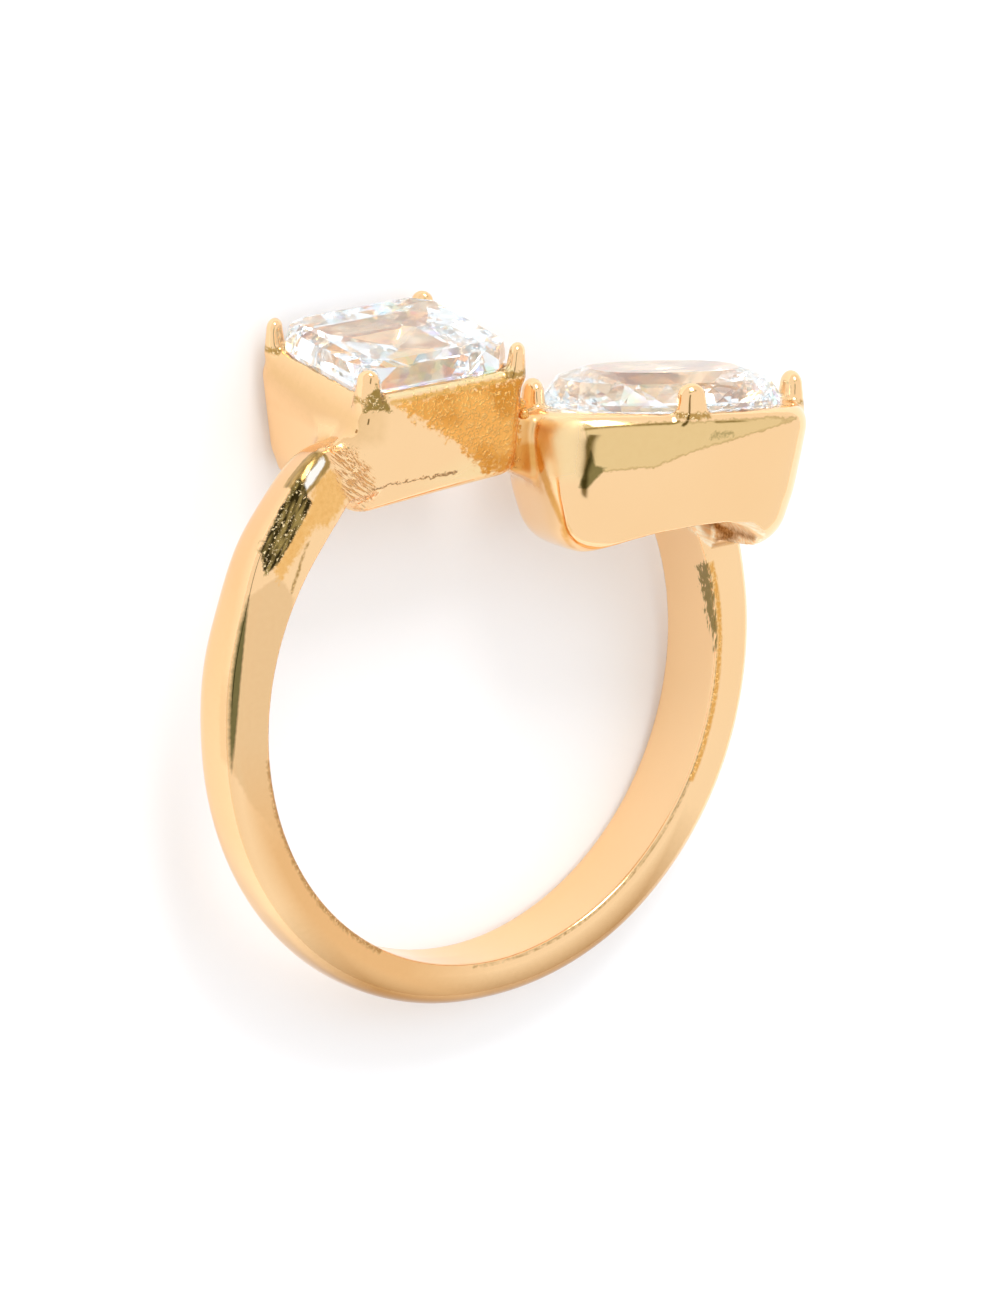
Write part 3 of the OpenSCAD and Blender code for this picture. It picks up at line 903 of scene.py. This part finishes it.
# %% The finish and the painted light of each patch
# mask, colour where the pattern is 0, colour where it is 1, pattern, roughness, height in mm
FINISHES_AND_PAINTED_LIGHT = (
    # painted shade on the left arm's near face
    (place("arm_shade", 0.15, 0.06), (0.82, 0.53, 0.27), (0.85, 0.57, 0.3), speck, 0.1, 0.0),
    # painted shade on the band's bottom
    (place("low_shade", 0.1, 0.45), (0.42, 0.2, 0.05), (0.46, 0.23, 0.07), speck, 0.1, 0.0),
    # painted shade on the lower left of the band's near face
    (place("dome_shade", 0.1, 0.35), (0.82, 0.47, 0.2), (0.85, 0.5, 0.22), speck, 0.1, 0.0),
    # painted shade on the outer side of the left arm
    (place("outer_shade", 0.1, 0.35), (0.88, 0.53, 0.25), (0.9, 0.55, 0.27), speck, 0.1, 0.0),
    (place("arm_crack", 0.16), (0.42, 0.26, 0.09), (0.75, 0.48, 0.2), glitter, 0.15, 0.01),
    # painted dark reflection along the left arm's edge
    (place("edge_shade", 0.06, 0.04), (0.15, 0.12, 0.04), (0.22, 0.18, 0.07), speck, 0.1, 0.0),
    # painted shade on the left cup's left wall
    (place("wall_shade", 0.3, 0.4), (0.8, 0.52, 0.25), (0.84, 0.55, 0.27), speck, 0.1, 0.0),
    # painted reflection of the tent's olive opening
    (place("tent_shade", 0.25, 0.03), (0.8, 0.56, 0.26), (0.83, 0.6, 0.29), speck, 0.05, 0.0),
    # painted dark rim round the tent's painted reflection
    (rim_of("tent_shade", 0.25, 0.06), (0.5, 0.33, 0.12), (0.62, 0.43, 0.18), speck, 0.05, 0.0),
    # painted shade on the web, rough to soften its bright reflections
    (place("web_shade", 0.3, 0.15), (0.82, 0.45, 0.16), (0.9, 0.54, 0.24), speck, 0.32, 0.0),
    # painted light on the right cup's left end
    (place("end_painted_light", 0.1, 0.25), (0.94, 0.69, 0.36), (0.97, 0.74, 0.42), speck, 0.38, 0.0),
    (place("mould_skin", 1.3, 0.08), cloudy, (1.0, 0.62, 0.22), glitter, 0.18, 0.03),
    # painted highlight along the left cup's rim
    (place("rim_painted_highlight", 0.15), (0.96, 0.66, 0.28), (1.0, 0.9, 0.6), speck, 0.06, 0.01),
    # painted shade line under the rim
    (place("ledge_shade_line", 0.1), (0.72, 0.4, 0.1), (0.82, 0.47, 0.14), speck, 0.1, 0.01),
    (place("deep_gold", 0.7, 0.1), (0.8, 0.4, 0.1), (0.96, 0.6, 0.24), speck, 0.16, 0.02),
    (place("file_strokes", 0.8, 0.15), (0.98, 0.68, 0.38), (0.76, 0.4, 0.15), strokes, 0.15,
     0.03),
    # painted dark reflection on the bevel, streaked with gold
    (place("bevel_painted_dark_reflection", 0.15), (0.1, 0.06, 0.015), (0.75, 0.47, 0.16), grooves, 0.2, 0.0),
    # painted highlight on the shoulder's bevel
    (place("bevel_painted_highlight", 0.12), (1.0, 0.97, 0.9), (1.0, 0.98, 0.92), speck, 0.35, 0.0),
    # real pits with a bump, and a painted dark reflection in their colour
    (place("bevel_pits_and_dark_reflection", 0.25), painted_dark_grooves, (1.0, 0.8, 0.45), dots, 0.15, 0.05),
    # painted orange reflection on the right cup's left end
    (place("corner_orange_reflection", 0.12, 0.07), (0.72, 0.36, 0.09), (0.85, 0.47, 0.15), speck, 0.12, 0.0),
    # painted shade and highlight dots round the claws' feet
    (place("claw_foot_shade", 0.35), (0.5, 0.3, 0.09), (1.0, 0.8, 0.5), dots, 0.1, 0.01),
    # painted dark reflections on the front claw
    (place("claw_dark_reflections", 0.4), (0.34, 0.22, 0.06), (1.0, 0.78, 0.45), dots, 0.12, 0.02),
    # painted light in the arch under the right cup
    (place("recess_painted_light", 0.1), (1.0, 0.68, 0.38), (1.0, 0.88, 0.66), recess_painted_streaks, 0.5, 0.0),
    # painted shade in the arch under the right cup
    (place("recess_painted_shade", 0.1, 0.08), (0.3, 0.13, 0.035), (0.55, 0.28, 0.1), recess_painted_streaks, 0.4,
     0.0),
    # painted shade line on the right arm
    (place("arm_top_shade_line", 0.03, 0.05), (0.55, 0.26, 0.08), (0.65, 0.32, 0.1), speck, 0.2, 0.0),
    # painted dark reflection at the streak's foot
    (place("painted_streak_foot", 0.1), (0.2, 0.15, 0.05), (0.3, 0.23, 0.08), speck, 0.1, 0.0),
    # a small darker olive spot
    (place("olive_spot", 0.4), (0.42, 0.31, 0.12), (0.6, 0.45, 0.2), speck, 0.1, 0.0),
    # painted dark reflection on the bore
    (place("bore_dark_reflection", 1.1, 0.08, bore_reflection_streaks), (0.22, 0.165, 0.06), (0.36, 0.26, 0.1),
     speck, 0.15, 0.0),
    (place("inner_line", 0.05), (0.4, 0.25, 0.08), (0.8, 0.52, 0.25), glitter, 0.1, 0.0),
    (place("inner_rim", 0.25, 0.06), (0.5, 0.27, 0.09), (0.85, 0.55, 0.28), glitter, 0.2, 0.01),
    (place("inner_edge", 0.12), (0.78, 0.4, 0.1), (0.98, 0.62, 0.26), glitter, 0.2, 0.015),
)

# %% Patch over patch
for mask, low, high, pattern, dull, deep in FINISHES_AND_PAINTED_LIGHT:
    colour = mix_colour(nodes, links, mask, colour,
                        mix_colour(nodes, links, pattern, low, high))
    rough = calc(nodes, links, "MAXIMUM", rough, calc(nodes, links, "MULTIPLY", mask, dull))
    raised = calc(nodes, links, "MULTIPLY", calc(nodes, links, "MULTIPLY", mask, pattern), deep)
    height = calc(nodes, links, "ADD", height, raised)

# %% A crack in the left cup's wall
CRACK_HEIGHT, CRACK_HALF, CRACK_DEPTH = -4.15, 0.05, 0.02
CRACK_X, CRACK_Y = (-2.7, 0.7), (-9.0, -2.0)
parts = nodes.new("ShaderNodeSeparateXYZ")
links.new(cup_mm, parts.inputs["Vector"])
cup_x, cup_y, cup_z = parts.outputs
wave = calc(nodes, links, "MULTIPLY", calc(nodes, links, "SUBTRACT", speck, 0.5), 0.5)
off = calc(nodes, links, "ABSOLUTE", calc(nodes, links, "ADD", calc(
    nodes, links, "ADD", cup_z, -CRACK_HEIGHT), wave))
crack = spread_to(nodes, links, off, 1, 0, 0.0, CRACK_HALF)
for socket, (low, high) in ((cup_x, CRACK_X), (cup_y, CRACK_Y)):
    for bound, operation in ((low, "GREATER_THAN"), (high, "LESS_THAN")):
        crack = calc(nodes, links, "MULTIPLY", crack, calc(nodes, links, operation, socket, bound))
colour = mix_colour(nodes, links, crack, colour, (0.3, 0.17, 0.06))
height = calc(nodes, links, "SUBTRACT", height,
              calc(nodes, links, "MULTIPLY", crack, CRACK_DEPTH))

# %% Colour, roughness and bump into the shader
# The height is a number of millimetres, so one unit of it is bumped out by a millimetre.
bump = nodes.new("ShaderNodeBump")
set_sockets(bump, {"Distance": MM, "Strength": 1.0})
links.new(height, bump.inputs["Height"])
links.new(bump.outputs["Normal"], shader.inputs["Normal"])
links.new(colour, shader.inputs["Base Color"])
links.new(rough, shader.inputs["Roughness"])
set_sockets(shader, {"Metallic": 1.0})
ring_metal.data.materials.append(gold)
print("gold: patches", len(FINISHES_AND_PAINTED_LIGHT), "nodes", len(nodes))

# %% [markdown]
# ## Clear stone
# The real stones are colourless, and the colour in them is the play of light split by the facets.
# A path tracer doesn't split light, so the colour is laid on: each facet has a pale tint of its
# own, small cells inside the facets vary it, and a few flakes have a colour by chance. The rest
# is a glass shader without roughness. Its index of 1.9 was chosen against the photograph,
# and a trace of blue light from within keeps the darkest facets from going black.

# %% Clear stone material
INNER_SHADES = (
    (0.25, (0.8, 0.87, 0.91)), (0.4, (0.9, 0.83, 0.77)), (0.5, (0.87, 0.9, 0.92)),
    (0.62, (0.78, 0.83, 0.87)), (0.7, (0.9, 0.92, 0.93)))
CELL_SCALE, FLAKE_SCALE = 1300, 3200
clear, nodes, links, shader = new_material("clear_stone")
where = nodes.new("ShaderNodeTexCoord").outputs["Object"]
cell, flake = nodes.new("ShaderNodeTexVoronoi"), nodes.new("ShaderNodeTexVoronoi")
for node, scale in ((cell, CELL_SCALE), (flake, FLAKE_SCALE)):
    set_sockets(node, {"Scale": scale})
    links.new(where, node.inputs["Vector"])
inner = nodes.new("ShaderNodeValToRGB")
inner.color_ramp.interpolation = "CONSTANT"
links.new(cell.outputs["Color"], inner.inputs["Fac"])
for start, shade in INNER_SHADES:
    inner.color_ramp.elements.new(start).color = (*shade, 1)
inner.color_ramp.elements[0].color = inner.color_ramp.elements[-1].color = (0.88, 0.91, 0.93, 1)
hint = mix_colour(nodes, links, stored(nodes, "facet_share"), inner.outputs["Color"],
                  stored(nodes, "facet_tint", "Color"))
glint = spread_to(nodes, links, noise(nodes, links, flake.outputs["Position"], 700, 2),
                  0.0, 0.4, 0.56, 0.62)
tint = mix_colour(nodes, links, glint, hint, flake.outputs["Color"])
links.new(tint, shader.inputs["Base Color"])
set_sockets(shader, {
    "Roughness": 0.0, "IOR": 1.9, "Transmission Weight": 0.97,
    "Emission Color": (0.45, 0.78, 1, 1), "Emission Strength": 0.03})
for stone in (radiant_cut, cushion_cut):
    stone.data.materials.append(clear)
print("clear stone: nodes", len(nodes))

# %% [markdown]
# ## Floor
# The ring seems to have been photographed in a white tent: nearly everything it mirrors is white,
# with a few darker patches where the tent is open. The floor is one large pale sheet with hardly
# any gloss. It gives off a little light, because the photograph's ground is nearly pure white.

# %% Floor
FLOOR_HALF = 1.5
floor_mesh = bpy.data.meshes.new("floor")
floor_mesh.from_pydata([(sx * FLOOR_HALF, sy * FLOOR_HALF, 0)
                        for sx, sy in ((-1, -1), (1, -1), (1, 1), (-1, 1))], [], [(0, 1, 2, 3)])
floor = bpy.data.objects.new("floor", floor_mesh)
bpy.context.scene.collection.objects.link(floor)
paper, nodes, links, shader = new_material("paper_floor")
set_sockets(shader, {
    "Base Color": (0.92, 0.93, 0.96, 1), "Roughness": 0.9,
    "Emission Color": (1, 1, 1, 1), "Emission Strength": 0.05})
floor.data.materials.append(paper)
print("floor side, m:", 2 * FLOOR_HALF)

# %% [markdown]
# ## A white tent with two openings
# The world is white on all sides. The ring mirrors three things in it: a wide, low, olive opening
# towards the stones, a darker narrow one to the left of straight above, and beyond the wide one a
# small bright lamp. Each is a region of directions: a direction is compared with three axes of
# the region's own, and the two slopes that come out are tested against its edges.

# %% Regions of directions
LEAST_DEPTH = 0.05


def direction_region(nodes, links, middle, turn, half, soft):
    """1 inside a rectangle of directions about a middle direction. The slopes along its two
    axes are the dot products with them, divided by the dot product with the middle."""
    middle = unit(middle)
    across = unit(np.cross([0, 1, 0], middle))
    upward = np.cross(middle, across)
    c, s = math.cos(math.radians(turn)), math.sin(math.radians(turn))
    axes = [across * c + upward * s, upward * c - across * s]
    coord = nodes.new("ShaderNodeTexCoord").outputs["Generated"]

    def dot(axis):
        node = nodes.new("ShaderNodeVectorMath")
        node.operation = "DOT_PRODUCT"
        links.new(coord, node.inputs[0])
        node.inputs[1].default_value = tuple(axis)
        return node.outputs["Value"]

    depth = dot(middle)
    inside = calc(nodes, links, "GREATER_THAN", depth, LEAST_DEPTH)
    ahead = calc(nodes, links, "MAXIMUM", depth, LEAST_DEPTH)
    for axis, size, edge in zip(axes, half, soft):
        slope = calc(nodes, links, "ABSOLUTE", calc(nodes, links, "DIVIDE", dot(axis), ahead))
        inside = calc(nodes, links, "MULTIPLY", inside,
                      spread_to(nodes, links, slope, 1, 0, size - edge, size + edge))
    return inside


def toward(x, y):
    """A direction that stands x degrees to +X and y degrees to +Y from straight up."""
    a = math.radians(math.hypot(x, y))
    b = math.atan2(y, x)
    return np.array([math.sin(a) * math.cos(b), math.sin(a) * math.sin(b), math.cos(a)])


# %% World
# middle, turn in degrees, half size and soft edge as slopes, light
OPENINGS = (
    (toward(5, 36), 0, (0.45, 0.07), (0.02, 0.05), (0.4, 0.37, 0.2)),
    (toward(-21, -2), -21, (0.085, 0.36), (0.04, 0.02), (0.17, 0.15, 0.06)),
    (toward(3, 53), 0, (0.16, 0.22), (0.02, 0.02), (8.0, 8.0, 8.0)),
)
world = bpy.data.worlds.new("white_tent")
world.use_nodes = True
nodes, links = world.node_tree.nodes, world.node_tree.links
light = (1.0, 1.0, 1.0)
for middle, turn, half, soft, shine in OPENINGS:
    region = direction_region(nodes, links, middle, turn, half, soft)
    light = mix_colour(nodes, links, region, light, shine)
links.new(light, nodes["Background"].inputs["Color"])
set_sockets(nodes["Background"], {"Strength": 1.0})
bpy.context.scene.world = world
print("regions in the world:", len(OPENINGS))

# %% A broad soft lamp, not mirrored by the ring
LAMP_WIDTH, LAMP_TILT, LAMP_STRENGTH = 80, -35, 0.5
lamp_data = bpy.data.lights.new("soft_lamp", "SUN")
lamp_data.angle = math.radians(LAMP_WIDTH)
lamp_data.energy = LAMP_STRENGTH
lamp = bpy.data.objects.new("soft_lamp", lamp_data)
lamp.rotation_euler = (math.radians(LAMP_TILT), 0, 0)
lamp.visible_glossy = False
bpy.context.scene.collection.objects.link(lamp)

# %% [markdown]
# ## Camera
# The camera was fitted to the photograph of the ring, so its three axes are known in the ring's
# frame, and they are laid down by the same turn as the ring. It stands far away with a long lens,
# which keeps the perspective as weak as in the photograph.

# %% Camera at the photograph's angle
RIGHTWARDS = np.array([0.7866, 0, 0.6174])
UPWARDS = np.array([0.1692, 0.9617, -0.2156])
TO_CAMERA = np.array([-0.5938, 0.2741, 0.7565])
AIM_RIGHT, AIM_UP, AWAY = 0.2348, 1.4204, 450
FOCAL_PIXELS, PHOTO_PIXELS_HIGH, SENSOR_MM = 13554, 1294, 36
stand = AIM_RIGHT * RIGHTWARDS + AIM_UP * UPWARDS + AWAY * TO_CAMERA
cam_data = bpy.data.cameras.new("camera")
cam_data.sensor_width = SENSOR_MM
cam_data.lens = FOCAL_PIXELS / PHOTO_PIXELS_HIGH * SENSOR_MM
cam_data.clip_start, cam_data.clip_end = 0.01, 20
camera = bpy.data.objects.new("camera", cam_data)
bpy.context.scene.collection.objects.link(camera)
matrix = np.eye(4)
matrix[:3, :3] = LAY @ np.column_stack([unit(RIGHTWARDS), unit(UPWARDS), unit(TO_CAMERA)])
matrix[:3, 3] = lay_down(stand)
camera.matrix_world = Matrix(matrix.tolist())
bpy.context.scene.camera = camera
print("camera at, mm:", np.round(matrix[:3, 3] / MM, 1).tolist())

# %% Plain colours, and enough bounces for light to get out of the stones
BOUNCES = 32
bpy.context.scene.view_settings.view_transform = "Standard"
for kind in ("max_bounces", "glossy_bounces", "transmission_bounces"):
    setattr(bpy.context.scene.cycles, kind, BOUNCES)
